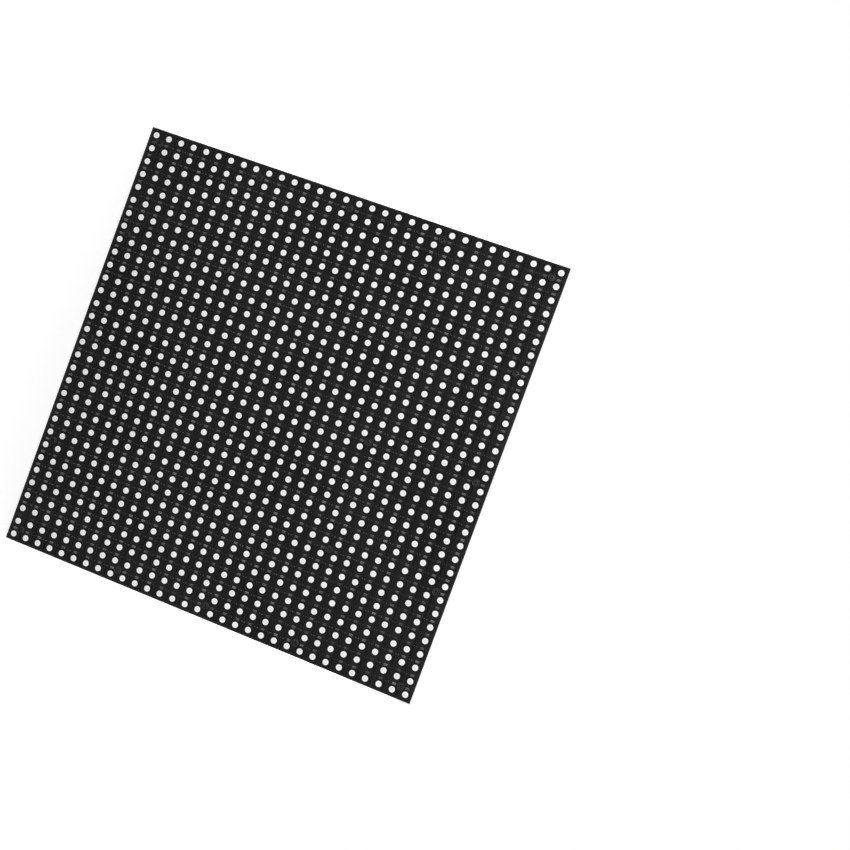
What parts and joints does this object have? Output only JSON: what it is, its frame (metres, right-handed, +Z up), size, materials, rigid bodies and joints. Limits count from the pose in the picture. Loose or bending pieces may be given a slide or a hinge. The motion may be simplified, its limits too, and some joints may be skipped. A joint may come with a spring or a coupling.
{
  "type": "led display module",
  "caption": "Square LED display module: louvred mask over a matrix of lamps, potted circuit board, ribbed rear frame with threaded inserts, and a sealing gasket.",
  "frame": {"origin": "middle of the bottom edge: centre of the module's width and of its whole depth, at the foot", "axes": "+Z up the module, +X to the right as the lamps are seen, +Y out of the back, where the frame, inserts and gasket are; the lamps face -Y"},
  "size_m": [0.192, 0.0212, 0.192],
  "materials": {
    "mask_plastic": "moulded, fine matte, light absorbing",
    "lamp_plastic": "white lamp body with a clear lens",
    "potting_compound": "cast potting, satin",
    "board_laminate": "green solder mask over traces",
    "frame_plastic": "moulded glass-filled plastic, satin",
    "insert_brass": "turned brass, tapped bore",
    "gasket_rubber": "grey silicone rubber",
    "chip_epoxy": "moulded epoxy",
    "resistor_body": "ceramic with plated ends",
    "capacitor_base": "moulded base",
    "can_aluminium": "drawn aluminium can",
    "socket_plastic": "moulded nylon",
    "power_plastic": "moulded nylon",
    "contact_plating": "plated square contact",
    "label_paper": "blank paper label"
  },
  "bodies": {
    "root": {"front_mask": "mask_plastic", "led_lamps": "lamp_plastic", "potting": "potting_compound", "circuit_board": "board_laminate", "rear_frame": "frame_plastic", "thread_inserts": "insert_brass", "gasket": "gasket_rubber", "driver_chips": "chip_epoxy", "switch_chips": "chip_epoxy", "buffer_chips": "chip_epoxy", "chip_resistors": "resistor_body", "capacitor_bases": "capacitor_base", "capacitor_cans": "can_aluminium", "data_in_shroud": "socket_plastic", "data_in_contacts": "contact_plating", "data_out_shroud": "socket_plastic", "data_out_contacts": "contact_plating", "power_housing": "power_plastic", "power_contacts": "contact_plating", "paper_label": "label_paper"}
  },
  "joints": []
}
